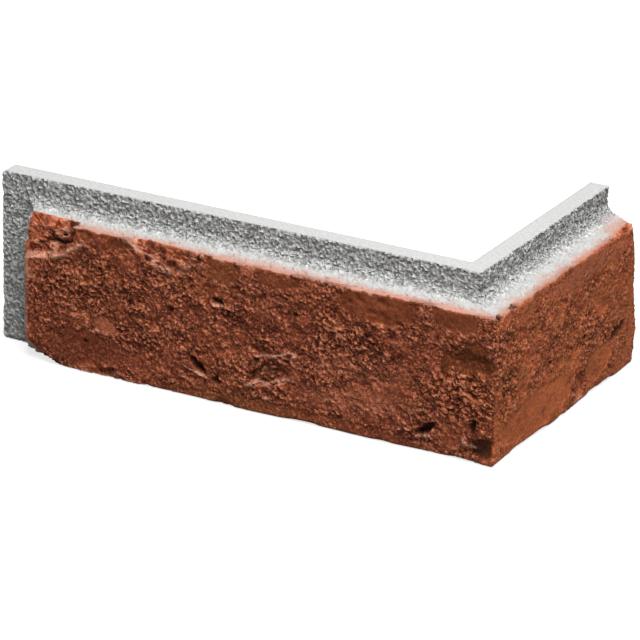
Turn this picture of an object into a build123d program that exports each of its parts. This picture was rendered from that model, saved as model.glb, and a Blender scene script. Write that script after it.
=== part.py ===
from build123d import *
import os
from math import cos, pi, radians, sin, sqrt

# Corner tile with a worn brick face, cast in one piece to wrap an outside wall corner.
# The origin is at the base of the inner arris, where the two glued backs meet.
# The long arm runs along -X, the short arm along +Y, and +Z is up. All sizes are in millimetres.

# Joint flange: the flat back plate that shows as the mortar joint beside and above the brick
long_arm = 221.5
short_arm = 110.0
flange_thickness = 8.6
flange_corner_radius = 3.0

# Brick standing proud of the flange, with one end leaning back and a cove where its top meets the flange
tile_thickness = 24.8
brick_height = 65.0
top_joint = 12.0
end_joint = 13.0
end_lean = 8.0
arris_radius = 2.2
cove_radius = 4.0

# Hand-moulded waves over the two brick faces
wave_depth = 1.4
wave_length = 61.0
wave_height = 47.0
wave_spacing = 12.0

# Shallow chips that roughen the middle of both brick faces, in staggered rows
chip_pitch = 12.0
chip_length = 10.0
chip_width = 7.0
chip_depth = 0.8
chip_clearance = 7.0
chip_margin = 30.0
chips_bottom = 25.0
chips_top = 51.0

# Stock in front of the faces and past their ends, all of it carved away
stock = 4.0

# Top of the flange, and where the leaning end meets the flange and the long brick face
flange_height = brick_height + top_joint
end_foot = -long_arm + end_joint
end_face = end_foot + end_lean

# Hollows worn into the brick faces and breaks along their top arris, in rows of: place along the arm
# from the inner arris, height above the base, half length, half width, depth, slope of the long way
# and upward tilt of the opening, both in degrees
long_face_hollows = [
    (end_face, brick_height, 27.0, 22.0, 7.9, 0.0, 10.0),
    (-128.0, brick_height, 24.0, 14.0, 3.4, -4.0, 15.0),
    (-57.0, brick_height, 5.0, 3.6, 2.6, 0.0, 40.0),
    (-117.0, 17.0, 5.6, 3.2, 1.4, -45.0, 0.0),
    (-106.0, 45.5, 4.2, 2.8, 1.0, 5.0, 0.0),
    (-80.0, 27.0, 9.0, 4.0, 1.2, 14.0, 0.0),
    (-82.0, 18.5, 8.5, 5.5, 2.4, 20.0, 0.0),
    (-7.5, 9.5, 5.8, 3.0, 1.3, 40.0, 0.0),
    (12.0, 43.0, 13.0, 5.5, 1.3, 4.0, 0.0),
    (14.5, 15.5, 4.8, 2.6, 0.8, 75.0, 0.0),
    (19.0, 6.5, 8.0, 6.0, 2.4, 0.0, 0.0),
]
short_face_hollows = [
    (-20.5, brick_height, 4.0, 3.4, 2.2, 0.0, 40.0),
    (-8.0, brick_height, 4.4, 3.4, 2.4, 0.0, 40.0),
    (55.0, 7.5, 6.5, 5.0, 2.0, -30.0, 0.0),
    (91.5, 22.0, 6.0, 3.4, 1.5, 12.0, 0.0),
]

# Broken corner at the foot of the leaning end, and the broken upper half of the short arm's outer arris
foot_break_length = 18.0
foot_break_width = 16.0
foot_break_depth = 6.0
far_break_height = 34.0
far_break_width = 12.0
far_break_depth = 4.6


# Depth of a brick face below its high points, at a place along the arm and above the base
def wave(along, above):
    swell = cos(2 * pi * along / wave_length) * cos(2 * pi * above / wave_height)
    roll = cos(1 + pi * along / wave_length + pi * above / wave_height)
    return wave_depth * (0.5 + 0.3 * swell + 0.2 * roll)


# Evenly spaced places from start to end
def places(start, end):
    count = max(4, round((end - start) / wave_spacing))
    return [start + (end - start) * step / count for step in range(count + 1)]


# Stock in front of a wavy face, where the plane's X runs along the arm, Y up and Z outwards
def face_stock(face, start, end):
    skin = Face.make_surface_from_array_of_points(
        [
            [face.from_local_coords((along, above, -wave(along, above))) for along in places(start, end)]
            for above in places(-stock, brick_height + stock)
        ],
        tol=0.05,
        min_deg=3,
        max_deg=5,
    )
    return Solid.extrude(skin, face.z_dir * (wave_depth + 2 * stock))


# Round-ended gouge that scoops a hollow of the given half length, half width and depth out of a surface
# whose outward normal is the plane's Z, with the long way of the hollow along the plane's X
def gouge(surface, half_length, half_width, depth):
    radius = (half_width**2 + depth**2) / (2 * depth)
    shoulder = half_length - half_width
    tip = shoulder + radius
    corner = radius * sqrt(0.5)
    profile = [
        ThreePointArc((-tip, 0), (-shoulder - corner, corner), (-shoulder, radius)),
        Line((-shoulder, radius), (shoulder, radius)),
        ThreePointArc((shoulder, radius), (shoulder + corner, corner), (tip, 0)),
        Line((tip, 0), (-tip, 0)),
    ]
    return surface.offset(radius - depth).location * revolve(make_face(profile), Axis.X)


# Gouge for one row of a face's hollows
def face_hollow(face, along, above, half_length, half_width, depth, slope, tilt):
    bottom = face.from_local_coords((along, above, -wave(along, above)))
    outward = face.z_dir * cos(radians(tilt)) + face.y_dir * sin(radians(tilt))
    upward = face.y_dir * cos(radians(tilt)) - face.z_dir * sin(radians(tilt))
    long_way = face.x_dir * cos(radians(slope)) + upward * sin(radians(slope))
    return gouge(Plane(bottom, x_dir=long_way, z_dir=outward), half_length, half_width, depth)


# Shallow chip with sloping sides and a small flat floor, sunk into the plane about its origin
def chip(surface):
    blank = Wedge(
        1.6 * chip_length,
        2 * chip_depth,
        1.6 * chip_width,
        0.6 * chip_length,
        0.6 * chip_width,
        chip_length,
        chip_width,
    )
    return Plane(surface.origin, x_dir=surface.x_dir, z_dir=surface.y_dir).location * blank


# Chips of one face, turned and shifted from one to the next and kept clear of its hollows
def face_chips(face, start, end, hollows):
    chips = []
    for row in range(int((chips_top - chips_bottom) / chip_pitch) + 1):
        for column in range(int((end - start) / chip_pitch) + 1):
            along = start + chip_pitch * (column + 0.5 * (row % 2)) + 2 * sin(3 * column + 5 * row)
            above = chips_bottom + chip_pitch * row + 2 * cos(2 * column + 3 * row)
            crowded = [
                hollow
                for hollow in hollows
                if abs(along - hollow[0]) < hollow[2] + chip_clearance
                and abs(above - hollow[1]) < hollow[3] + chip_clearance
            ]
            if not crowded:
                turn = radians(47 * column + 31 * row)
                long_way = face.x_dir * cos(turn) + face.y_dir * sin(turn)
                middle = face.from_local_coords((along, above, -wave(along, above)))
                chips.append(chip(Plane(middle, x_dir=long_way, z_dir=face.z_dir)))
    return chips


def flange():
    outline = Polyline(
        (-long_arm, 0),
        (0, 0),
        (0, short_arm),
        (flange_thickness, short_arm),
        (flange_thickness, -flange_thickness),
        (-long_arm, -flange_thickness),
        close=True,
    )
    plate = extrude(make_face(outline), flange_height)
    return fillet(plate.edges().filter_by(Axis.Y).group_by(Axis.X)[0], flange_corner_radius)


def brick(long_face, short_face):
    face_line = tile_thickness + stock
    lean_slope = end_lean / (tile_thickness - flange_thickness)
    outline = Polyline(
        (end_foot, -flange_thickness),
        (end_face + lean_slope * stock, -face_line),
        (face_line, -face_line),
        (face_line, short_arm),
        (0, short_arm),
        (0, -flange_thickness),
        close=True,
    )
    block = extrude(make_face(outline), brick_height)
    block -= face_stock(long_face, end_foot - stock, face_line + stock)
    block -= face_stock(short_face, -face_line - stock, short_arm + stock)
    arrises = block.faces().filter_by(GeomType.BSPLINE).edges()
    return fillet(arrises - arrises.filter_by_position(Axis.Z, 0, 0), arris_radius)


def corner_tile():
    long_face = Plane((0, -tile_thickness, 0), x_dir=(1, 0, 0), z_dir=(0, -1, 0))
    short_face = Plane((tile_thickness, 0, 0), x_dir=(0, 1, 0), z_dir=(1, 0, 0))
    body = brick(long_face, short_face) + flange()

    ledge_edges = body.edges().filter_by_position(Axis.Z, brick_height, brick_height)
    long_cove = ledge_edges.filter_by_position(Axis.Y, -flange_thickness, -flange_thickness)
    short_cove = ledge_edges.filter_by_position(Axis.X, flange_thickness, flange_thickness)
    body = fillet(long_cove + short_cove, cove_radius)

    for face, hollows in ((long_face, long_face_hollows), (short_face, short_face_hollows)):
        for hollow in hollows:
            body -= face_hollow(face, *hollow)

    body -= face_chips(long_face, end_face + chip_margin, -tile_thickness / 2, long_face_hollows)
    body -= face_chips(short_face, -tile_thickness / 2, short_arm - chip_margin, short_face_hollows)

    foot_corner = Plane((end_face, -tile_thickness, 0), x_dir=(1, -1, 0), z_dir=(-1, -1, -1))
    body -= gouge(foot_corner, foot_break_length, foot_break_width, foot_break_depth)
    far_arris = Plane((tile_thickness, short_arm, brick_height), x_dir=(0, 0, 1), z_dir=(1, 1, 0))
    body -= gouge(far_arris, far_break_height, far_break_width, far_break_depth)
    return body


os.makedirs("parts", exist_ok=True)
export_step(corner_tile(), "parts/corner_tile.step")
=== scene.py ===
import math

import bmesh
import bpy
import numpy as np
from mathutils import Matrix, Vector, noise


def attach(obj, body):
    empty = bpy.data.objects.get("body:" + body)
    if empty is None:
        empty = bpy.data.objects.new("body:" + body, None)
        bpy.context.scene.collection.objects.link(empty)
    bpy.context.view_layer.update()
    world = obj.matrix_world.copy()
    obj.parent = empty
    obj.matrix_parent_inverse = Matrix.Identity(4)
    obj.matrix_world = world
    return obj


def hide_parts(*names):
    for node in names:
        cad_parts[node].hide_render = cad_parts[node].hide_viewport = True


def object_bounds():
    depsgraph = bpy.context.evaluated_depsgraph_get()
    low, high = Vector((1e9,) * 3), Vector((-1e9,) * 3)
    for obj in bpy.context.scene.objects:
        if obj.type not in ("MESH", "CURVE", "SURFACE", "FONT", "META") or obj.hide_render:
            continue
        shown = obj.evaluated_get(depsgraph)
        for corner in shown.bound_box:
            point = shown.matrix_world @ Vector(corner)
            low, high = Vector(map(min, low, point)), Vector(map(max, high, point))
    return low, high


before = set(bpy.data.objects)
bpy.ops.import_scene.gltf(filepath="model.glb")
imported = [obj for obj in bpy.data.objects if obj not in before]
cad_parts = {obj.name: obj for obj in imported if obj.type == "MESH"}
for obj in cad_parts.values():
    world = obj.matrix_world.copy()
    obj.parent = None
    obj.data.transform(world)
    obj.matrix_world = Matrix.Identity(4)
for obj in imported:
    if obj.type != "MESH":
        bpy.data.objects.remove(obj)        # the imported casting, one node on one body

cadLow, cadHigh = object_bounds()
print("frame loaded")

# The casting in millimetres: long arm along -X, short arm along +Y, bed joint at z = 0
tileShape = {
    "longArm": -cadLow.x * 1000,
    "shortArm": cadHigh.y * 1000,
    "flangeHeight": cadHigh.z * 1000,
    "flangeThickness": 8.6,
    "flangeCorner": 1.6,      # rounding of the flange's free end, seen from the front
    "brickFace": 24.8,        # brick faces, measured out from the inner arris
    "brickHeight": 65.0,
    "brickRim": 20.8,         # where the finer rim of the ledge and bed begins
    "endFoot": -208.5,        # where the brick's leaning end meets the flange
    "endLean": 8.0,
    "waveDepth": 1.4,
    "waveLength": 61.0,
    "waveHeight": 47.0,
    "chipPitch": 12.0,        # shallow chips in three staggered rows
    "chipLength": 10.0,
    "chipWidth": 7.0,
    "chipDepth": 0.8,
    "chipMargin": 30.0,
    "chipsBottom": 25.0,
    "coveRadius": 4.6,
    "arrisRadius": (0.7, 2.4),  # crisp and worn stretches
    "rimSteepness": 2.2,      # of broken shells
    "skeleton": 12.0,         # wear works inwards towards a core this far below the faces
    "bedSkeleton": 3.0,       # and this far above the bed
    "wearSteps": 24,
    "wearStride": 0.8,
    "breakSize": 5.0,         # raggedness of the breaks
    "breakWander": 1.2,
    "arrisPatch": 16.0,       # length of a crisp or worn stretch
    "ledgeStart": 4.0,        # out from the flange, where the ledge begins to drop
    "ledgeEnd": 12.0,
    "ledgePatch": 9.0,
    "sharpAngle": 50.0,       # degrees
    "faceGrid": 0.65,
    "ledgeGrid": 0.9,
    "flangeGrid": 0.65,
}
tiny = 0.01                   # places closer than this are the same

# Scooped places: along the arm, above the bed, out from the face, then half length, half height,
# half depth, slope in degrees, and how raw the break is
longScoops = [
    (-57.5, 66.5, 0.2, 6.5, 4.6, 2.8, 0.0, 0.8),
    (-90.5, 66.5, 0.6, 3.0, 3.6, 2.2, 0.0, 0.6),
    (12.5, 43.5, 2.6, 15.0, 6.8, 4.6, 3.0, 0.0),
    (-163.0, 1.0, 1.2, 13.0, 4.0, 2.8, 2.0, 0.7),
    (-141.0, -1.0, 1.4, 8.0, 4.5, 2.9, 0.0, 0.3),
    (-104.0, -1.5, 1.4, 9.0, 4.5, 2.9, 0.0, 0.2),
    (-166.0, 12.0, 3.2, 9.0, 9.0, 4.4, 0.0, 0.0),
    (-185.0, 13.0, 3.4, 12.0, 9.0, 4.6, 0.0, 0.0),
]
shortScoops = [
    (-20.5, 66.5, 0.2, 4.2, 3.6, 2.4, 0.0, 0.7),
    (-8.0, 66.5, 0.2, 4.6, 3.8, 2.6, 0.0, 0.7),
    (113.0, 36.0, 1.5, 8.0, 30.0, 4.5, 4.0, 0.3),
    (55.5, 7.5, 1.4, 7.5, 5.6, 4.0, -25.0, 0.2),
    (33.0, 66.0, 0.8, 6.0, 3.0, 2.2, 0.0, 0.3),
]

# Broken-off shells with steep rims: along, above, half length, half height, slope in degrees, depth at
# the middle, added depth per millimetre along and up, and how raw the break is
longShells = [
    (-203.0, 62.0, 27.0, 15.5, 0.0, 6.7, -0.06, 0.25, 1.0),
    (-130.0, 68.0, 21.0, 14.0, -6.0, 2.9, -0.07, 0.08, 0.6),
    (-81.0, 17.6, 9.4, 4.8, 14.0, 3.2, -0.02, -0.12, 0.7),
    (-78.0, 30.0, 11.0, 4.0, 12.0, 1.4, 0.0, -0.10, 0.2),
    (19.5, 6.4, 6.8, 5.0, 0.0, 2.6, 0.05, 0.0, 0.0),
    (-165.0, 62.0, 13.0, 6.0, -4.0, 0.5, 0.0, 0.02, 0.0),
    (-30.0, 61.0, 21.0, 9.0, 0.0, 0.45, 0.0, 0.01, 0.0),
    (5.5, 62.0, 12.5, 7.0, 0.0, 0.45, 0.0, 0.01, 0.0),
]
shortShells = [
    (100.0, 68.5, 13.0, 5.5, 0.0, 3.0, 0.10, 0.25, 1.0),
    (56.0, 8.5, 7.0, 5.5, -20.0, 2.2, -0.12, 0.0, 0.2),
]

# Corners broken off along a plane: a place on it, and the way it faces
brokenCorners = [
    ((-200.9, -16.8, 65.0), (-0.85, -0.55, 0.25)),
    ((-200.5, -24.8, 11.0), (-0.30, -0.72, -0.62)),
    ((24.8, 105.0, 50.0), (0.65, 1.0, 0.225)),
    ((24.8, 110.0, 22.0), (0.65, 1.0, -0.13)),
]

# Holes, painted dark inside as shade: along, above, half length, half width, depth, slope in degrees
longHoles = [
    (-116.0, 15.4, 6.2, 2.0, 4.6, -40.0),
    (-106.5, 10.0, 2.6, 2.1, 3.0, 0.0),
    (-7.0, 10.0, 5.6, 2.2, 4.4, 34.0),
    (14.3, 15.3, 4.2, 1.3, 3.2, 78.0),
    (-106.0, 45.8, 3.4, 1.6, 2.4, -8.0),
    (-88.0, 22.8, 2.0, 1.5, 1.6, 20.0),
    (-163.0, 41.0, 1.6, 1.1, 1.3, 0.0),
    (-129.0, 37.5, 1.8, 1.0, 1.4, -10.0),
    (-145.0, 27.0, 1.5, 1.0, 1.2, 0.0),
    (-155.0, 22.6, 2.4, 1.0, 1.4, -15.0),
    (-82.5, 39.0, 1.4, 1.0, 1.0, 0.0),
    (-70.0, 47.0, 1.8, 1.1, 1.2, 15.0),
    (-35.0, 45.5, 1.6, 1.0, 1.2, 0.0),
    (-171.0, 14.0, 1.5, 1.0, 1.3, 0.0),
    (-186.0, 57.4, 8.0, 2.2, 1.8, 6.0),
    (-196.0, 53.4, 4.5, 0.8, 1.0, -35.0),
    (-179.5, 65.0, 2.6, 1.5, 1.6, 0.0),
    # a shallow one over the corner recess, there mostly to paint shade into it
    (19.0, 6.3, 6.2, 4.4, 0.4, 0.0),
    (-57.0, 64.6, 2.4, 1.2, 2.2, 0.0),
    (-117.0, 64.6, 1.8, 1.4, 2.2, 0.0),
    (-183.0, 63.0, 1.8, 1.1, 1.6, 20.0),
    (-179.0, 60.0, 1.5, 1.0, 1.4, 0.0),
]
shortHoles = [
    (91.0, 18.8, 5.0, 3.6, 2.4, 0.0),
    (98.0, 20.4, 3.4, 3.0, 2.0, 0.0),
    (-21.0, 64.8, 2.2, 1.6, 2.6, 0.0),
    (-8.0, 64.8, 2.8, 1.6, 2.8, 0.0),
    (80.0, 30.0, 3.0, 1.2, 1.4, 30.0),
    (45.0, 45.0, 4.0, 1.5, 1.4, 20.0),
    (30.0, 28.0, 3.0, 1.2, 1.2, 30.0),
]

# Standing lips, painted pale as highlight where they catch the light: from along and above, to along and
# above, half width, height
longLips = [
    (-202.0, 46.8, -190.0, 48.8, 2.0, 0.5),
    (-190.0, 48.8, -181.0, 51.6, 1.8, 0.5),
    (-181.0, 51.6, -172.5, 57.5, 1.5, 0.5),
    # a low lip that mainly paints a highlight along the lit left edge of the brick
    (-201.0, 14.0, -201.0, 45.0, 0.7, 0.2),
    (-151.0, 65.6, -141.0, 60.0, 2.4, 1.4),
    (-141.0, 60.0, -131.0, 54.0, 2.6, 1.8),
    (10.0, 9.0, 15.0, 5.5, 1.2, 0.8),
    (-122.5, 14.6, -112.0, 9.8, 1.0, 1.2),
    (-13.0, 5.6, -5.5, 7.0, 0.8, 0.9),
    (-87.0, 24.6, -78.0, 26.4, 1.0, 1.1),
    (-78.0, 26.4, -69.0, 29.2, 1.0, 1.0),
    (-90.0, 12.6, -82.0, 13.0, 0.9, 1.2),
    (-82.0, 13.0, -71.0, 17.8, 1.0, 1.1),
    (-83.0, 7.0, -80.0, 5.5, 0.9, 0.6),
    (-108.5, 44.0, -100.0, 43.0, 0.9, 0.8),
    (-165.0, 21.6, -161.0, 20.2, 0.5, 0.4),
]
shortLips = [
    (52.0, 1.6, 58.0, 2.4, 1.1, 0.5),
]

# Pinholes in the ledge of the short arm, painted dark inside as shade: along, back from the face, radius,
# depth
ledgePits = [
    (-4.5, 2.0, 2.3, 1.6),
    (-19.2, 1.5, 1.9, 1.6),
]

# Smooth places: along, above, half length, half height, slope, smoothing, and a dark patch that is partly
# painted shade in the hollows
longSmooth = [
    (-163.0, 62.5, 14.0, 5.0, -4.0, 0.85, 0.55),
    (-104.0, 60.5, 8.5, 7.0, 0.0, 0.85, 0.55),
    (-78.0, 62.0, 12.0, 5.5, 0.0, 0.8, 0.5),
    (-31.0, 59.5, 21.0, 8.5, 0.0, 0.96, 0.5),
    (5.0, 61.5, 11.5, 6.5, 0.0, 0.95, 0.6),
    # the next three lie over the corner hollow and the one at 19.0 over the corner recess: their dark patch
    # is partly painted shade in these hollows
    (14.0, 43.5, 11.5, 5.4, 3.0, 0.9, 1.0),
    (2.5, 42.0, 3.2, 5.2, 0.0, 0.9, 1.0),
    (14.5, 49.0, 6.0, 3.6, 0.0, 0.8, 0.8),
    (-172.0, 10.5, 23.0, 9.0, 0.0, 0.75, 0.25),
    (-161.0, 23.0, 6.0, 4.0, -10.0, 0.8, 0.0),
    (-38.0, 13.5, 28.0, 7.0, 3.0, 0.3, 0.1),
    (19.0, 6.5, 7.5, 5.5, 0.0, 0.8, 1.0),
    (-72.0, 1.5, 75.0, 4.5, 0.0, 0.6, 0.35),
]
shortSmooth = [
    (15.0, 11.0, 36.0, 10.0, 0.0, 0.75, 0.0),
    (74.0, 12.0, 13.0, 8.0, 0.0, 0.7, 0.0),
    (62.0, 58.0, 45.0, 7.0, 0.0, 0.5, 0.1),
]

# Coarse places: along, above, half length, half height, slope, added roughness
longCoarse = [
    (10.0, 27.5, 17.0, 11.0, 0.0, 1.5),
    (-166.0, 37.0, 32.0, 15.0, -6.0, 0.35),
    (-45.0, 34.0, 26.0, 10.0, 10.0, 0.35),
    (-58.0, 55.0, 14.0, 8.0, 0.0, 0.3),
    (-120.0, 56.0, 12.0, 8.0, 0.0, 0.3),
    (-90.0, 20.0, 14.0, 10.0, 0.0, 0.3),
    (-8.0, 61.0, 3.2, 6.0, 0.0, 0.9),
]
shortCoarse = [
    (45.0, 34.0, 34.0, 10.0, -14.0, 0.45),
    (-14.0, 44.0, 14.0, 16.0, 0.0, 0.7),
    (70.0, 26.0, 22.0, 6.0, 0.0, 0.4),
]

# Stains: along, above, half length, half height, slope, strength
longEmbers = [
    (-188.0, 58.0, 14.0, 9.0, 15.0, 0.7),
    (-134.0, 63.0, 12.0, 6.0, -10.0, 0.5),
    (-58.0, 62.5, 8.0, 5.0, 0.0, 0.4),
    (-163.0, 3.0, 14.0, 3.0, 2.0, 0.7),
    (10.0, 27.0, 16.0, 11.0, 0.0, 0.35),
    (-81.0, 17.0, 9.0, 5.0, 14.0, 0.3),
    (-190.0, 43.0, 10.0, 4.0, 0.0, 0.3),
    (-189.0, 36.0, 4.0, 2.4, 0.0, 0.5),
]
shortEmbers = [
    (103.0, 60.0, 10.0, 12.0, 0.0, 0.6),
    (103.0, 44.0, 6.0, 16.0, 0.0, 0.45),
    (97.0, 11.0, 6.0, 8.0, 0.0, 0.25),
    (10.0, 20.0, 30.0, 8.0, 0.0, 0.15),
]
longOlive = [
    (-104.0, 58.0, 10.0, 9.0, 0.0, 0.15),
    (-51.0, 44.5, 6.0, 4.0, 0.0, 0.3),
    (12.0, 43.5, 14.0, 9.0, 0.0, 0.12),
    (-95.0, 3.0, 30.0, 5.0, 0.0, 0.3),
    (-12.0, 18.0, 8.0, 4.0, 0.0, 0.2),
]
shortOlive = [
    (10.0, 52.0, 8.0, 4.0, 0.0, 0.3),
    (32.0, 41.0, 12.0, 6.0, 20.0, 0.25),
    (97.0, 12.0, 7.0, 9.0, 0.0, 0.4),
    (72.0, 44.0, 16.0, 5.0, -15.0, 0.2),
    (68.0, 14.0, 12.0, 8.0, 0.0, 0.2),
    (-5.0, 33.0, 16.0, 5.0, 0.0, 0.3),
]
longWine = [
    (-172.0, 12.0, 26.0, 10.0, 0.0, 0.95),
    (-48.0, 41.0, 30.0, 9.0, 5.0, 0.6),
    (-95.0, 40.0, 28.0, 10.0, 0.0, 0.45),
    (-190.0, 25.0, 10.0, 18.0, 0.0, 0.3),
    (-20.0, 4.0, 30.0, 4.0, 0.0, 0.5),
]
shortWine = [
    (14.0, 37.0, 10.0, 4.0, 0.0, 0.4),
    (48.0, 45.0, 14.0, 6.0, 5.0, 0.4),
]
longRose = [
    (-40.0, 15.0, 26.0, 7.0, 6.0, 0.6),
    (-35.0, 30.0, 22.0, 8.0, 0.0, 0.4),
    (-161.0, 23.5, 7.0, 4.0, -10.0, 0.5),
    (-57.0, 30.0, 5.0, 5.0, 0.0, 0.5),
    (-78.0, 52.0, 16.0, 6.0, 0.0, 0.3),
    (-44.0, 30.0, 24.0, 9.0, 8.0, 0.6),
    (-8.0, 61.0, 3.0, 6.0, 0.0, 0.9),
]
shortRose = [
    (60.0, 59.0, 40.0, 6.0, 0.0, 0.6),
    (53.0, 3.0, 4.0, 2.0, 0.0, 0.7),
    (68.0, 24.0, 9.0, 3.0, 0.0, 0.4),
]


# A copy with its vertices and faces in a fixed order: the order that extruding leaves can change
def settleCage(cage):
    ordered = sorted(cage.verts, key=lambda vert: vert.co[:])
    rank = {vert: index for index, vert in enumerate(ordered)}
    loops = []
    for item in cage.faces:
        corners = [rank[vert] for vert in item.verts]
        first = corners.index(min(corners)) + 1
        loops.append(corners[first:] + corners[:first])
    settled = bmesh.new()
    verts = [settled.verts.new(vert.co) for vert in ordered]
    for loop in sorted(loops):
        settled.faces.new([verts[index] for index in loop])
    cage.free()
    return settled


def buildTileCage(shape):
    face, thick, foot = shape["brickFace"], shape["flangeThickness"], shape["endFoot"]
    plan = (
        (-shape["longArm"], 0),
        (0, 0),
        (0, shape["shortArm"]),
        (thick, shape["shortArm"]),
        (thick, -thick),
        (-shape["longArm"], -thick),
    )
    cage = bmesh.new()
    corners = [cage.verts.new((x, y, 0)) for x, y in plan]
    cage.faces.new([corners[i] for i in (0, 1, 4, 5)])
    cage.faces.new([corners[i] for i in (1, 2, 3, 4)])
    raised = bmesh.ops.extrude_face_region(cage, geom=cage.faces[:])
    topVerts = [item for item in raised["geom"] if isinstance(item, bmesh.types.BMVert)]
    bmesh.ops.translate(cage, vec=(0, 0, shape["flangeHeight"]), verts=topVerts)
    bmesh.ops.recalc_face_normals(cage, faces=cage.faces[:])

    # joint lines between flange and brick
    for place, normal in (((0, 0, shape["brickHeight"]), (0, 0, 1)), ((foot, 0, 0), (1, 0, 0))):
        everything = cage.verts[:] + cage.edges[:] + cage.faces[:]
        bmesh.ops.bisect_plane(cage, geom=everything, plane_co=place, plane_no=normal)

    # the brick grows out of the flange in two steps, so that its rim gets finer rows
    front = []
    for item in cage.faces:
        middle = item.calc_center_median()
        onLong = item.normal.y < -0.9 and middle.x > foot
        onShort = item.normal.x > 0.9
        if (onLong or onShort) and middle.z < shape["brickHeight"]:
            front.append(item)
    reach = thick
    for target in (shape["brickRim"], face):
        grown = bmesh.ops.extrude_face_region(cage, geom=front)["geom"]
        bmesh.ops.delete(cage, geom=front, context="FACES")
        front = [item for item in grown if isinstance(item, bmesh.types.BMFace)]
        lean = shape["endLean"] * (target - reach) / (face - thick)
        for vert in (item for item in grown if isinstance(item, bmesh.types.BMVert)):
            if vert.co.x < foot + shape["endLean"]:
                vert.co.x += lean
            if abs(vert.co.x - reach) < tiny:
                vert.co.x = target
            if abs(vert.co.y + reach) < tiny:
                vert.co.y = -target
        reach = target
    bmesh.ops.recalc_face_normals(cage, faces=cage.faces[:])
    return settleCage(cage)


def cutRing(cage, length, grid, wanted):
    picked = []
    for edge in cage.edges:
        start, end = edge.verts[0].co, edge.verts[1].co
        if wanted((start + end) / 2, [abs(gap) for gap in end - start]):
            picked.append(edge)
    bmesh.ops.subdivide_edges(cage, edges=picked, cuts=round(length / grid) - 1, use_grid_fill=True)


def gridTile(cage, shape):
    face, thick, rim = shape["brickFace"], shape["flangeThickness"], shape["brickRim"]
    joint = shape["flangeHeight"] - shape["brickHeight"]
    margin = shape["endFoot"] + shape["longArm"]

    def same(a, b):
        return abs(a - b) < tiny

    def onBack(middle):
        onLongBack = same(middle.y, 0) and middle.x > tiny - shape["longArm"]
        onShortBack = same(middle.x, 0) and middle.y < shape["shortArm"] - tiny
        return onLongBack or onShortBack

    def atEnd(middle):
        return same(middle.x, -shape["longArm"]) or same(middle.y, shape["shortArm"])

    # rows up the brick and the joint strip
    for height, grid in ((shape["brickHeight"], shape["faceGrid"]), (joint, shape["flangeGrid"])):
        cutRing(cage, height, grid, lambda middle, span: same(span[2], height) and not onBack(middle))

    # rows over the flange's top, the ledge and the brick's rim
    def overFlange(middle, span):
        crossing = same(max(span), thick) and span[2] < tiny
        return crossing and (same(middle.z, shape["flangeHeight"]) or atEnd(middle))

    def overLedge(middle, span):
        crossing = same(max(span), rim - thick) and span[2] < tiny
        onBed = middle.z < tiny and middle.x > shape["endFoot"] + shape["endLean"]
        return crossing and (not onBed or atEnd(middle))

    def overRim(middle, span):
        return same(max(span), face - rim) and span[2] < tiny

    cutRing(cage, thick, shape["flangeGrid"] * 1.5, overFlange)
    cutRing(cage, rim - thick, shape["ledgeGrid"], overLedge)
    cutRing(cage, face - rim, shape["faceGrid"], overRim)

    # columns along both arms, then along the flange's free end
    def alongLong(middle, span):
        hidden = middle.z < tiny and middle.y > -rim + tiny
        return span[0] > shape["longArm"] - 2 * margin and max(span[1:]) < tiny and not hidden

    def alongShort(middle, span):
        hidden = middle.z < tiny and middle.x < rim - tiny
        return span[1] > shape["shortArm"] - tiny and max(span[0], span[2]) < tiny and not hidden

    def alongMargin(middle, span):
        hidden = same(middle.y, 0) and middle.z < shape["flangeHeight"] - tiny
        return same(span[0], margin) and max(span[1:]) < tiny and not hidden

    cutRing(cage, face - shape["endFoot"] - shape["endLean"], shape["faceGrid"], alongLong)
    cutRing(cage, face + shape["shortArm"], shape["faceGrid"], alongShort)
    cutRing(cage, margin, shape["flangeGrid"], alongMargin)


def grain(points, size, seed, octaves=1):
    places = points / size + seed * 17.3
    return np.array([noise.fractal(place, 1.0, 2.0, octaves) for place in places.tolist()])


# Granules packed side by side: 1 on their tops, 0 in the gaps between them
def granules(points, size, seed):
    places = points / size + seed * 17.3
    nearest = np.array([noise.voronoi(place)[0][0] for place in places.tolist()])
    return 1 - ease(nearest, 0.1, 0.75)


def ease(values, low, high):
    part = np.clip((values - low) / (high - low), 0, 1)
    return part * part * (3 - 2 * part)


# Distance from the middle of a sloping oval, 1 at its rim
def ovalReach(along, above, place):
    centreAlong, centreAbove, halfLength, halfHeight, slope = place
    turn = math.radians(slope)
    dx, dz = along - centreAlong, above - centreAbove
    u = (dx * math.cos(turn) + dz * math.sin(turn)) / halfLength
    v = (dz * math.cos(turn) - dx * math.sin(turn)) / halfHeight
    return np.sqrt(u * u + v * v)


# Distance from a straight line between two places
def lineReach(along, above, startAlong, startAbove, endAlong, endAbove):
    dx, dz = endAlong - startAlong, endAbove - startAbove
    part = ((along - startAlong) * dx + (above - startAbove) * dz) / (dx * dx + dz * dz)
    part = np.clip(part, 0, 1)
    return np.hypot(along - startAlong - part * dx, above - startAbove - part * dz)


# Slow waves of a brick face, as depth below its high points
def faceWave(along, above, shape):
    turnAlong = math.pi * along / shape["waveLength"]
    turnAbove = math.pi * above / shape["waveHeight"]
    swell = np.cos(2 * turnAlong) * np.cos(2 * turnAbove)
    return shape["waveDepth"] * (0.5 + 0.3 * swell + 0.2 * np.cos(1 + turnAlong + turnAbove))


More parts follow.
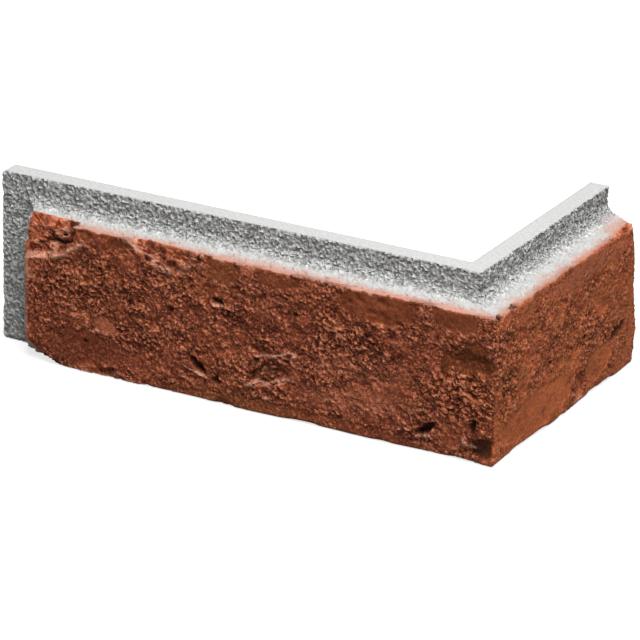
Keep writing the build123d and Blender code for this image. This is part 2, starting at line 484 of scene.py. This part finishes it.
# Shallow chips along a face, turned and shifted from one to the next; 1 on their floors
def chipFloors(along, above, start, end, shape):
    pitch = shape["chipPitch"]
    floors = np.zeros(len(along))
    for row in range(3):
        for column in range(int((end - start) / pitch) + 1):
            place = (
                start + pitch * (column + 0.5 * (row % 2)) + 2 * math.sin(3 * column + 5 * row),
                shape["chipsBottom"] + pitch * row + 2 * math.cos(2 * column + 3 * row),
                shape["chipLength"] / 2,
                shape["chipWidth"] / 2,
                47 * column + 31 * row,
            )
            floors = np.maximum(floors, 1 - ease(ovalReach(along, above, place), 0.5, 1.15))
    return floors


# Outline of a scooped place on its face
def scoopOval(row):
    return row[0], row[1], row[3], row[4], row[6]


# Depth of a broken shell's floor below the face
def shellDepth(along, above, row):
    return row[5] + row[6] * (along - row[0]) + row[7] * (above - row[1])


# How far outside the worn brick each point is
def wornBrick(points, wander, ledgeInset, radius, shape):
    x, y, z = points.T
    face = shape["brickFace"]
    depth = face - shape["flangeThickness"]
    leanLength = math.hypot(depth, shape["endLean"])
    fromFoot = (x - shape["endFoot"]) * depth + (y + shape["flangeThickness"]) * shape["endLean"]
    sides = np.stack((
        -y - face + faceWave(x, z, shape),
        x - face + faceWave(y, z, shape),
        z - shape["brickHeight"] + ledgeInset,
        -z,
        -fromFoot / leanLength,
        y - shape["shortArm"],
    ))
    field = np.sqrt((np.maximum(sides + radius, 0) ** 2).sum(0)) - radius
    x, y, z = (points + shape["breakWander"] * wander).T
    for place, normal in brokenCorners:
        way = Vector(normal).normalized()
        field = np.maximum(field, (x - place[0]) * way.x + (y - place[1]) * way.y + (z - place[2]) * way.z)
    broken = ((longScoops, longShells, x, -y - face), (shortScoops, shortShells, y, x - face))
    for scoops, shells, along, out in broken:
        for row in scoops:
            reach = np.hypot(ovalReach(along, z, scoopOval(row)), (out - row[2]) / row[5])
            field = np.maximum(field, (1 - reach) * row[5])
        for row in shells:
            rim = (1 - ovalReach(along, z, row[:5])) * row[3] * shape["rimSteepness"]
            field = np.maximum(field, np.minimum(rim, out + shellDepth(along, z, row)))
    return field


def wearTile(points, shape):
    face, thick = shape["brickFace"], shape["flangeThickness"]
    height, core = shape["brickHeight"], shape["skeleton"]
    x, y, z = points.T
    inBrick = ((y < -thick - tiny) | (x > thick + tiny)) & (z < height + tiny)

    # wear brick points inwards until they reach the broken surface
    start = points[inBrick]
    middle = np.stack((
        np.clip(start[:, 0], shape["endFoot"] + shape["endLean"] + core, face - core),
        np.clip(start[:, 1], core - face, shape["shortArm"] - core),
        np.clip(start[:, 2], shape["bedSkeleton"], height - core),
    ), axis=1)
    outward = start - middle
    outward /= np.linalg.norm(outward, axis=1)[:, None]
    fromFlange = np.hypot(np.maximum(start[:, 0] - thick, 0), np.minimum(start[:, 1] + thick, 0))
    ledgeInset = np.clip(0.3 + 0.9 * grain(start, shape["ledgePatch"], 2, 3), 0, 1.2)
    ledgeInset = ease(fromFlange, shape["ledgeStart"], shape["ledgeEnd"]) * ledgeInset
    crisp, soft = shape["arrisRadius"]
    radius = crisp + (soft - crisp) * ease(grain(start, shape["arrisPatch"], 4, 2), -0.1, 0.6)
    wander = np.stack([grain(start, shape["breakSize"], seed, 3) for seed in (21, 22, 23)], axis=1)
    travel = np.zeros(len(start))
    for step in range(shape["wearSteps"]):
        reached = start - outward * travel[:, None]
        travel += shape["wearStride"] * np.maximum(wornBrick(reached, wander, ledgeInset, radius, shape), 0)
    worn = points.copy()
    worn[inBrick] = start - outward * travel[:, None]

    facing = np.zeros_like(points)
    facing[inBrick] = outward
    onLong = np.abs(y + thick) < tiny
    onShort = np.abs(x - thick) < tiny
    facing[onLong & ~inBrick, 1] = -1
    facing[onShort & ~inBrick, 0] = 1
    return worn, facing, inBrick


# Cove between the ledge and the joint flange
def coveTile(points, flat, shape):
    thick, radius = shape["flangeThickness"], shape["coveRadius"]
    away = np.stack((np.maximum(flat[:, 0] - thick, 0), np.minimum(flat[:, 1] + thick, 0)), axis=1)
    onLong = np.abs(flat[:, 1] + thick) < tiny
    onShort = np.abs(flat[:, 0] - thick) < tiny
    u = np.linalg.norm(away, axis=1)
    v = flat[:, 2] - shape["brickHeight"]
    onLedge = (u > tiny) & (np.abs(v) < tiny)
    onFlange = (onLong | onShort) & (v > -tiny)
    near = (onLedge | onFlange) & (u < radius) & (v < radius) & (flat[:, 0] > shape["endFoot"] + tiny)
    way = np.where(u[:, None] > tiny, away / np.maximum(u, tiny)[:, None], 0)
    way[onFlange & onLong & ~onShort & (u <= tiny)] = (0, -1)
    way[onFlange & onShort & ~onLong & (u <= tiny)] = (1, 0)
    way[onFlange & onShort & onLong & (u <= tiny)] = (math.sqrt(0.5), -math.sqrt(0.5))
    span = np.hypot(u - radius, v - radius)
    du = radius + radius * (u - radius) / span - u
    dv = radius + radius * (v - radius) / span - v
    shaped = points.copy()
    shaped[near, :2] += (way * du[:, None])[near]
    shaped[near, 2] += dv[near]
    return shaped


# Rounds the corners of the flange's free end, as seen from the front
def roundFlange(points, shape):
    radius = shape["flangeCorner"]
    shaped = points.copy()
    for side, level in ((1, shape["flangeHeight"] - radius), (-1, radius)):
        across = -shape["longArm"] + radius - shaped[:, 0]
        upward = side * (shaped[:, 2] - level)
        reach = np.hypot(across, upward)
        past = (across > 0) & (upward > 0) & (reach > radius)
        shaped[past, 0] += across[past] * (1 - radius / reach[past])
        shaped[past, 2] -= side * upward[past] * (1 - radius / reach[past])
    return shaped


relief = {
    "streakSlope": -25.0,     # degrees, the way the clay was dragged
    "streakStretch": 1.5,
    "granuleSize": 1.7,
    "granuleHeight": 0.6,
    "fineSize": 1.1,
    "fineHeight": 0.5,
    "knobSize": 3.4,
    "knobHeight": 0.4,
    "swellSize": 12.0,
    "swellHeight": 0.3,
    "pockSize": 2.6,
    "pockDepth": 0.6,
    "rawSize": 4.0,
    "rawHeight": 2.2,
    "sandSize": 1.4,
    "sandHeight": 0.6,
    "sandFine": 0.8,
    "rippleSize": 3.5,
    "rippleHeight": 0.3,
    "wanderSize": 6.0,
    "wanderReach": 1.6,       # how far the edges of stains and breaks stray
    "longRough": 0.85,
    "shortRough": 0.55,
    "roughPatch": 15.0,
    "roughSwing": 0.6,
    "longFringe": 7.0,        # how far the coat thins out over the ledge
    "shortFringe": 4.5,
    "fringeSwing": 5.0,
    "fringeFade": 4.0,
    "lapSize": 3.0,           # ragged edge of the full coat behind the arris
    "lapReach": 0.4,
    "lapSwing": 1.5,
    "farEnd": (82.0, 96.0),   # along the short arm, where the coat spreads back over the ledge
    "topBand": 1.2,           # rubbed strip along the top of the faces
    "topWander": 2.2,
    "topWear": 0.45,
    # the ledge's share covers the grain's bump and its painted light and shade; on the flange's top the
    # painted contrast is kept low, as that face looks up to the lamp
    "ledgeGrain": 0.2,        # share of the flange's grain at the front of the ledge
    "ledgeGrainSpan": (9.0, 16.0),  # back from the face, where it grows to the whole
    "topGrain": (0.15, 0.1),  # bump and contrast on the flange's top
}


# Height of the skin above the worn surface, and where each stain, painted highlight and painted shade lies
def tileSkin(flat, inBrick, shape, settings):
    face = shape["brickFace"]
    x, y, z = flat.T
    behindLong, behindShort = y + face, face - x
    onShort = behindShort < behindLong
    back = np.minimum(behindLong, behindShort)
    along = np.where(onShort, y, x)
    sheet = np.stack((np.where(onShort, y + 2 * face, x), back, z), axis=1)
    turn = math.radians(settings["streakSlope"])
    streak = np.stack((
        (sheet[:, 0] * math.cos(turn) + z * math.sin(turn)) / settings["streakStretch"],
        back,
        z * math.cos(turn) - sheet[:, 0] * math.sin(turn),
    ), axis=1)

    # edges of the stains and breaks wander a little
    wanderAlong = along + settings["wanderReach"] * grain(sheet, settings["wanderSize"], 5, 2)
    wanderUp = z + settings["wanderReach"] * grain(sheet, settings["wanderSize"], 6, 2)

    def vertexMask(longRows, shortRows, strengthColumn, low=0.6, high=1.15):
        strength = np.zeros(len(flat))
        for rows, here in ((longRows, ~onShort), (shortRows, onShort)):
            for row in rows:
                reach = ovalReach(wanderAlong, wanderUp, row[:5])
                strength = np.maximum(strength, here * row[strengthColumn] * (1 - ease(reach, low, high)))
        return strength

    smooth = vertexMask(longSmooth, shortSmooth, 5, 0.8, 1.05)
    # dark smooth patches, partly painted shade in the corner hollows
    darkPatchAndShade = vertexMask(longSmooth, shortSmooth, 6, 0.86, 1.04)
    ember = vertexMask(longEmbers, shortEmbers, 5)
    olive = vertexMask(longOlive, shortOlive, 5)
    wine = vertexMask(longWine, shortWine, 5, 0.3, 1.3)
    rose = vertexMask(longRose, shortRose, 5, 0.3, 1.3)
    longRaw = [(*scoopOval(row), row[7]) for row in longScoops]
    shortRaw = [(*scoopOval(row), row[7]) for row in shortScoops]
    raw = vertexMask(longRaw, shortRaw, 5, 0.85, 1.02)
    raw = np.maximum(raw, vertexMask(longShells, shortShells, 8, 0.88, 1.0))

    coarse = vertexMask(longCoarse, shortCoarse, 5)
    rough = np.where(onShort, settings["shortRough"], settings["longRough"])
    rough = rough + settings["roughSwing"] * grain(sheet, settings["roughPatch"], 3, 2) + coarse
    rough = np.clip(rough, 0.35, 2.0) * (1 - smooth)
    lumps = granules(streak, settings["granuleSize"], 15) - 0.4
    fine = grain(sheet, settings["fineSize"], 7)
    knobs = grain(streak, settings["knobSize"], 8, 2)
    pocks = ease(grain(sheet, settings["pockSize"], 9), 0.3, 0.6)
    swell = grain(sheet, settings["swellSize"], 10, 2)
    broken = grain(sheet, settings["rawSize"], 11, 3)
    grit = settings["granuleHeight"] * lumps + settings["fineHeight"] * fine
    grit += settings["knobHeight"] * knobs
    grit = rough * (grit - settings["pockDepth"] * pocks) + 0.15 * fine
    height = grit + settings["swellHeight"] * swell + raw * settings["rawHeight"] * np.minimum(broken, 0.2)
    longStart = shape["endFoot"] + shape["endLean"] + shape["chipMargin"]
    shortEnd = shape["shortArm"] - shape["chipMargin"]
    longChips = chipFloors(wanderAlong, wanderUp, longStart, -face / 2, shape)
    shortChips = chipFloors(wanderAlong, wanderUp, -face / 2, shortEnd, shape)
    height -= shape["chipDepth"] * (1 - smooth) * np.where(onShort, shortChips, longChips)

    # the skin is quieter along the edges of the faces
    toEdge = np.minimum(np.minimum(z, shape["brickHeight"] - z), shape["shortArm"] - 5 - y)
    toEdge = np.minimum(toEdge, x - shape["endFoot"] - shape["endLean"])
    height *= 0.3 + 0.7 * np.maximum(ease(toEdge, 0.5, 4.0), raw)

    # painted highlight on the raised parts of raw breaks, partly the paler broken clay
    paleAndHighlight = 0.6 * raw * ease(broken, 0.15, 0.5)
    # painted shade in the low parts of raw breaks
    pitShade = 0.6 * raw * ease(-broken, 0.15, 0.5)
    for holes, lips, here in ((longHoles, longLips, ~onShort), (shortHoles, shortLips, onShort)):
        for row in holes:
            oval = (row[0], row[1], row[2], row[3], row[5])
            reach = ovalReach(along + 0.9 * knobs, z + 0.9 * fine, oval)
            sunk = here * (1 - ease(reach, 0.55, 1.1))
            height -= row[4] * sunk
            pitShade = np.maximum(pitShade, sunk)
        # lips stand a little and are painted pale as a highlight on their lit edges
        for row in lips:
            away = lineReach(wanderAlong, wanderUp, *row[:4]) + 0.8 * fine
            stood = here * (1 - ease(away / row[4], 0, 1)) * np.clip(0.85 + knobs, 0.5, 1)
            height += row[5] * stood
            paleAndHighlight = np.maximum(paleAndHighlight, np.minimum(1.4 * stood, 1))
    pitShade *= 1 - 0.8 * paleAndHighlight

    # broken places are bare clay right back to their walls
    bare = np.zeros(len(flat))
    for shells, here in ((longShells, ~onShort), (shortShells, onShort)):
        for row in shells:
            inside = 1 - ease(ovalReach(wanderAlong, wanderUp, row[:5]), 0.95, 1.05)
            reaching = ease(shellDepth(along, z, row) + 2 - back, 0, 2)
            bare = np.maximum(bare, here * row[8] * inside * reaching)

    # the face coat runs a little way over the ledge and the ends
    fringe = np.where(onShort, settings["shortFringe"], settings["longFringe"])
    fringe = fringe + settings["fringeSwing"] * grain(sheet, settings["wanderSize"], 12, 3) + 2.0 * fine
    fringe = np.maximum(fringe, 0.8) + 8 * onShort * ease(y, *settings["farEnd"])
    thin = 1 - ease(back, 0, fringe + settings["fringeFade"])
    lap = settings["lapReach"] + settings["lapSwing"] * grain(sheet, settings["lapSize"], 18, 2)
    nearTop = z + settings["topWander"] * grain(sheet, settings["wanderSize"], 17, 3) + 0.8 * fine
    rubbed = ease(nearTop, shape["brickHeight"] - settings["topBand"], shape["brickHeight"])
    worn = 1 - settings["topWear"] * rubbed * (1 - raw)
    coat = inBrick * np.where(back < tiny, worn, np.maximum(0.5 * thin, ease(bare, 0.2, 0.5)))
    coat = np.maximum(coat, inBrick * (1 - ease(back, lap, lap + 0.7)))
    coat = np.maximum(coat, inBrick * pitShade * (1 - ease(back, 2.0, 3.5)))

    sand = settings["sandHeight"] * (granules(flat, settings["sandSize"], 13) - 0.4)
    sand += settings["sandFine"] * grain(flat, settings["fineSize"], 16)
    sand += settings["rippleHeight"] * grain(flat, settings["rippleSize"], 14, 2)
    frontness = np.where(inBrick, 1 - ease(back, 1.0, 4.0), 0)
    height = frontness * height + (1 - frontness) * sand
    onTop = z > shape["flangeHeight"] - tiny
    for place, inset, radius, depth in ledgePits:
        reach = np.hypot(along - place, back - inset) / radius + 0.2 * fine
        sunk = onShort * (z > shape["brickHeight"] - tiny) * (1 - ease(reach, 0.6, 1.1))
        height -= depth * sunk
        pitShade = np.maximum(pitShade, sunk)
        coat = np.maximum(coat, sunk)

    onGlueSide = ((y > -tiny) & (x < tiny)) | (z < tiny) & ~inBrick
    calm = settings["ledgeGrain"]
    nearFlange = np.where(inBrick, calm + (1 - calm) * ease(back, *settings["ledgeGrainSpan"]), 1)
    # how strongly the sand grain is painted light on its tops and dark in its hollows: little on the top,
    # which faces the lamp
    topRugged, topShadeContrast = settings["topGrain"]
    sandRugged = np.where(onGlueSide, 0.5, np.where(onTop, topRugged, nearFlange))
    sandShadeContrast = np.where(onGlueSide, 0, np.where(onTop, topShadeContrast, nearFlange))
    colourMasks = {
        "coat": coat,
        "darkPatchAndShade": darkPatchAndShade,
        "ember": np.maximum(ember, raw),
        "olive": olive,
        "paleAndHighlight": paleAndHighlight,
        "pitShade": pitShade,
        "wine": wine,
        "rose": rose,
        # grit height, which the material turns into painted highlights on granule tops and painted shade in
        # their gaps
        "grit": np.clip(0.5 + grit / 0.8, 0, 1),
        "sunny": onShort + 0.7 * coarse,
        # sand height, which the material turns into painted highlight on the grains and painted shade
        # between them
        "sandLightAndShade": np.clip(0.5 + sand / 0.45 * sandShadeContrast, 0, 1),
        "rugged": frontness * (0.12 + 0.88 * np.clip(rough, 0, 1.3)) + (1 - frontness) * sandRugged,
    }
    return height, colourMasks


def makeCornerTile(shape):
    cage = buildTileCage(shape)
    gridTile(cage, shape)
    mesh = bpy.data.meshes.new("cornerTile")
    cage.to_mesh(mesh)
    cage.free()
    print("cage cut into", len(mesh.polygons), "faces")

    flat = np.empty(len(mesh.vertices) * 3)
    mesh.vertices.foreach_get("co", flat)
    flat = flat.reshape(-1, 3)
    worn, facing, inBrick = wearTile(flat, shape)
    worn = roundFlange(coveTile(worn, flat, shape), shape)
    print("brick worn and coved")

    height, colourMasks = tileSkin(flat, inBrick, shape, relief)
    skinned = worn + facing * height[:, None]
    skinned = np.clip(skinned, np.array(cadLow) * 1000, np.array(cadHigh) * 1000)
    mesh.vertices.foreach_set("co", (skinned / 1000).ravel())
    mesh.update()
    for name, values in colourMasks.items():
        mesh.attributes.new(name, "FLOAT", "POINT").data.foreach_set("value", values.astype(np.float32))
    mesh.shade_smooth()
    mesh.set_sharp_from_angle(angle=math.radians(shape["sharpAngle"]))
    mesh.materials.append(castStone(finish))
    tile = bpy.data.objects.new("cornerTile", mesh)
    bpy.context.collection.objects.link(tile)
    print("skin and stains laid on")
    return tile


# Colours of the cast body and of the pigment on its faces, with the painted highlights and painted shade on
# its grains, lips and holes
finish = {
    # the darkest sand is also painted shade between the grains; the brightest, below, is painted highlight
    # on their tops
    "sandDarkAndShade": (0.20, 0.202, 0.197),
    "sandBody": (0.35, 0.352, 0.343),
    "sandPale": (0.50, 0.50, 0.49),
    "sandHighlight": (0.66, 0.66, 0.65),
    "clayDeep": (0.115, 0.023, 0.0105),
    "clayBody": (0.195, 0.046, 0.0195),
    "clayWarm": (0.31, 0.084, 0.034),
    "sunnyTone": (0.42, 0.106, 0.037),
    "wineTone": (0.11, 0.0225, 0.0105),
    "roseTone": (0.35, 0.114, 0.061),
    # dark brown of smooth patches, also painted shade in the corner hollows
    "darkPatchShadeTone": (0.072, 0.0175, 0.004),
    "emberTone": (0.33, 0.075, 0.031),
    "ochreTone": (0.27, 0.096, 0.024),
    "plumTone": (0.15, 0.032, 0.023),
    "oliveTone": (0.16, 0.075, 0.018),
    # painted highlight on lips and the raised parts of breaks, partly paler broken clay
    "paleHighlightTone": (0.62, 0.30, 0.20),
    "fringeTone": (0.37, 0.175, 0.127),
    # the next three: painted highlight on granule tops and crests, then painted shade in the gaps between
    # granules
    "grainHighlightTone": (0.54, 0.172, 0.085),
    "crestHighlightTone": (0.60, 0.21, 0.112),
    "grainShadeTone": (0.05, 0.013, 0.008),
    # painted shade in holes, pinholes and the low parts of breaks
    "pitShadeTone": (0.05, 0.02, 0.014),
    "roughness": 0.92,
    "specular": 0.1,
    "sandSpeckle": 0.0014,    # speckle sizes in metres
    "claySpeckle": 0.009,
    "ochreSpeckle": 0.0063,
    "plumSpeckle": 0.0057,
    # fine speckles of painted highlight and painted shade among the grains
    "highlightDotSpeckle": 0.0010,
    "shadeFleckSpeckle": 0.0012,
    "bumpDistance": 0.0030,
}


def castStone(colours):
    stone = bpy.data.materials.new("castStone")
    stone.use_nodes = True
    tree = stone.node_tree
    tree.nodes.clear()
    place = tree.nodes.new("ShaderNodeTexCoord").outputs["Object"]

    def speckle(size, detail, roughness=0.55):
        node = tree.nodes.new("ShaderNodeTexNoise")
        node.inputs["Scale"].default_value = 1 / size
        node.inputs["Detail"].default_value = detail
        node.inputs["Roughness"].default_value = roughness
        tree.links.new(place, node.inputs["Vector"])
        return node.outputs["Fac"]

    def ramp(value, *stops):
        node = tree.nodes.new("ShaderNodeValToRGB")
        tree.links.new(value, node.inputs["Fac"])
        while len(node.color_ramp.elements) < len(stops):
            node.color_ramp.elements.new(0.5)
        for element, (spot, colour) in zip(node.color_ramp.elements, stops):
            element.position = spot
            element.color = (*colour, 1)
        return node.outputs["Color"]

    def vertexMask(name):
        node = tree.nodes.new("ShaderNodeAttribute")
        node.attribute_name = name
        return node.outputs["Fac"]

    def scaled(value, factor, offset=0.0):
        node = tree.nodes.new("ShaderNodeMath")
        node.operation = "MULTIPLY_ADD"
        node.use_clamp = True
        tree.links.new(value, node.inputs[0])
        if isinstance(factor, float):
            node.inputs[1].default_value = factor
        else:
            tree.links.new(factor, node.inputs[1])
        node.inputs[2].default_value = offset
        return node.outputs[0]

    def blend(below, above, amount):
        node = tree.nodes.new("ShaderNodeMix")
        node.data_type = "RGBA"
        tree.links.new(amount, node.inputs["Factor"])
        for source, socket in ((below, node.inputs[6]), (above, node.inputs[7])):
            if isinstance(source, tuple):
                socket.default_value = (*source, 1)
            else:
                tree.links.new(source, socket)
        return node.outputs[2]

    sand = ramp(
        speckle(colours["sandSpeckle"], 3),
        (0.3, colours["sandDarkAndShade"]), (0.46, colours["sandBody"]), (0.7, colours["sandPale"]),
    )
    sand = blend(colours["sandBody"], sand, scaled(vertexMask("rugged"), 1.6))
    # painted shade between the sand grains and painted highlight on their tops, from the sand height
    sand = blend(sand, colours["sandDarkAndShade"], scaled(vertexMask("sandLightAndShade"), -1.8, 0.6))
    sand = blend(sand, colours["sandHighlight"], scaled(vertexMask("sandLightAndShade"), 1.8, -1.0))
    clay = ramp(
        speckle(colours["claySpeckle"], 6, 0.65),
        (0.3, colours["clayDeep"]), (0.5, colours["clayBody"]), (0.72, colours["clayWarm"]),
    )
    clay = blend(clay, colours["sunnyTone"], scaled(vertexMask("sunny"), 0.85))
    ochre = scaled(speckle(colours["ochreSpeckle"], 3), 5.0, -2.6)
    clay = blend(clay, colours["ochreTone"], scaled(ochre, vertexMask("sunny")))
    plum = scaled(speckle(colours["plumSpeckle"], 3), 5.0, -2.7)
    clay = blend(clay, colours["plumTone"], plum)
    clay = blend(clay, colours["wineTone"], vertexMask("wine"))
    clay = blend(clay, colours["roseTone"], scaled(vertexMask("rose"), 0.9))
    clay = blend(clay, colours["oliveTone"], vertexMask("olive"))
    # dark smooth patches, partly painted shade in the corner hollows
    clay = blend(clay, colours["darkPatchShadeTone"], scaled(vertexMask("darkPatchAndShade"), 0.95))
    clay = blend(clay, colours["emberTone"], scaled(vertexMask("ember"), 0.75))
    # painted highlight on granule tops and painted shade in the gaps between them, from the grit height
    clay = blend(clay, colours["grainHighlightTone"], scaled(vertexMask("grit"), 1.9, -1.0))
    clay = blend(clay, colours["grainShadeTone"], scaled(vertexMask("grit"), -1.4, 0.62))
    # painted highlight on the highest crests, stronger where the face is rugged
    crestHighlights = scaled(vertexMask("grit"), 3.6, -2.6)
    clay = blend(clay, colours["crestHighlightTone"], scaled(crestHighlights, vertexMask("rugged")))
    # fine dots of painted highlight and flecks of painted shade among the grains, stronger where the face
    # is rugged
    highlightDots = scaled(speckle(colours["highlightDotSpeckle"], 2), 7.0, -3.65)
    clay = blend(clay, colours["grainHighlightTone"], scaled(highlightDots, vertexMask("rugged")))
    shadeFlecks = scaled(speckle(colours["shadeFleckSpeckle"], 2), 7.5, -4.0)
    clay = blend(clay, colours["grainShadeTone"], scaled(shadeFlecks, vertexMask("rugged")))
    # painted highlight on lips and on the raised parts of breaks
    clay = blend(clay, colours["paleHighlightTone"], scaled(vertexMask("paleAndHighlight"), 0.85))
    # painted shade in holes, pinholes and the low parts of breaks
    clay = blend(clay, colours["pitShadeTone"], scaled(vertexMask("pitShade"), 0.85))
    thin = blend(sand, colours["fringeTone"], scaled(vertexMask("coat"), 2.0))
    tone = blend(thin, clay, scaled(vertexMask("coat"), 2.0, -1.0))

    bump = tree.nodes.new("ShaderNodeBump")
    bump.inputs["Distance"].default_value = colours["bumpDistance"]
    bump.inputs["Strength"].default_value = 1.0
    grains = scaled(speckle(colours["sandSpeckle"], 4, 0.6), vertexMask("rugged"))
    tree.links.new(grains, bump.inputs["Height"])
    surface = tree.nodes.new("ShaderNodeBsdfPrincipled")
    surface.inputs["Roughness"].default_value = colours["roughness"]
    surface.inputs["Specular IOR Level"].default_value = colours["specular"]
    output = tree.nodes.new("ShaderNodeOutputMaterial")
    tree.links.new(tone, surface.inputs["Base Color"])
    tree.links.new(bump.outputs["Normal"], surface.inputs["Normal"])
    tree.links.new(surface.outputs["BSDF"], output.inputs["Surface"])
    return stone


cameraView = {
    "lens": 272.1,
    "yaw": 28.603,
    "pitch": 22.009,
    "roll": 1.04,
    "distance": 2004.26,      # millimetres
    "aim": (-60.97, 47.75),
}


def setCamera(view):
    yaw, pitch, roll = (math.radians(view[key]) for key in ("yaw", "pitch", "roll"))
    back = Vector((math.sin(yaw) * math.cos(pitch), -math.cos(yaw) * math.cos(pitch), math.sin(pitch)))
    level = Vector((math.cos(yaw), math.sin(yaw), 0))
    upright = level.cross(-back)
    right = math.cos(roll) * level + math.sin(roll) * upright
    up = math.cos(roll) * upright - math.sin(roll) * level
    place = (view["aim"][0] * right + view["aim"][1] * up + view["distance"] * back) / 1000
    data = bpy.data.cameras.new("tileCamera")
    data.lens = view["lens"]
    camera = bpy.data.objects.new("tileCamera", data)
    camera.matrix_world = Matrix.Translation(place) @ Matrix((right, up, back)).transposed().to_4x4()
    bpy.context.collection.objects.link(camera)
    bpy.context.scene.camera = camera


studio = {
    "worldLevel": 0.22,
    "lampSize": 1.0,
    "lamps": [
        ("topLamp", 60.0, (0.40, -0.52, 1.56)),
        ("backLamp", 9.0, (-0.8, 1.0, 0.35)),
    ],
    "floorSize": 4.0,
    "floorDrop": 0.0005,      # keeps the floor clear of the bed
    "floorColour": (0.25, 0.25, 0.25),
    "floorGlow": 0.75,
}


# Rays that see the white backdrop; light on the tile is left alone
def seenRays(tree):
    path = tree.nodes.new("ShaderNodeLightPath")
    seen = path.outputs["Is Camera Ray"]
    for name in ("Is Glossy Ray", "Is Transmission Ray"):
        larger = tree.nodes.new("ShaderNodeMath")
        larger.operation = "MAXIMUM"
        tree.links.new(seen, larger.inputs[0])
        tree.links.new(path.outputs[name], larger.inputs[1])
        seen = larger.outputs[0]
    return seen


def setStudio(settings):
    scene = bpy.context.scene
    scene.view_settings.view_transform = "Standard"
    world = bpy.data.worlds.new("studioWorld")
    scene.world = world
    world.use_nodes = True
    tree = world.node_tree
    tree.nodes.clear()
    light = tree.nodes.new("ShaderNodeBackground")
    light.inputs["Strength"].default_value = settings["worldLevel"]
    white = tree.nodes.new("ShaderNodeBackground")
    for background in (light, white):
        background.inputs["Color"].default_value = (1, 1, 1, 1)
    mix = tree.nodes.new("ShaderNodeMixShader")
    output = tree.nodes.new("ShaderNodeOutputWorld")
    tree.links.new(seenRays(tree), mix.inputs["Fac"])
    tree.links.new(light.outputs[0], mix.inputs[1])
    tree.links.new(white.outputs[0], mix.inputs[2])
    tree.links.new(mix.outputs[0], output.inputs["Surface"])

    for name, power, place in settings["lamps"]:
        lamp = bpy.data.lights.new(name, "AREA")
        lamp.energy = power
        lamp.size = settings["lampSize"]
        panel = bpy.data.objects.new(name, lamp)
        panel.location = place
        panel.rotation_euler = Vector(place).to_track_quat("Z", "Y").to_euler()
        bpy.context.collection.objects.link(panel)

    floorForm = bmesh.new()
    bmesh.ops.create_grid(floorForm, x_segments=1, y_segments=1, size=settings["floorSize"])
    floorMesh = bpy.data.meshes.new("floor")
    floorForm.to_mesh(floorMesh)
    floorForm.free()
    floor = bpy.data.objects.new("floor", floorMesh)
    floor.location.z = -settings["floorDrop"]
    bpy.context.collection.objects.link(floor)
    paint = bpy.data.materials.new("paleFloor")
    paint.use_nodes = True
    tree = paint.node_tree
    tree.nodes.clear()
    matt = tree.nodes.new("ShaderNodeBsdfDiffuse")
    matt.inputs["Color"].default_value = (*settings["floorColour"], 1)
    glow = tree.nodes.new("ShaderNodeEmission")
    level = tree.nodes.new("ShaderNodeMath")
    level.operation = "MULTIPLY"
    level.inputs[1].default_value = settings["floorGlow"]
    add = tree.nodes.new("ShaderNodeAddShader")
    output = tree.nodes.new("ShaderNodeOutputMaterial")
    tree.links.new(seenRays(tree), level.inputs[0])
    tree.links.new(level.outputs[0], glow.inputs["Strength"])
    tree.links.new(matt.outputs[0], add.inputs[0])
    tree.links.new(glow.outputs[0], add.inputs[1])
    tree.links.new(add.outputs[0], output.inputs["Surface"])
    floorMesh.materials.append(paint)
    print("studio set")


cornerTile = makeCornerTile(tileShape)
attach(cornerTile, "root")
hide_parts("corner_tile")
setCamera(cameraView)
setStudio(studio)
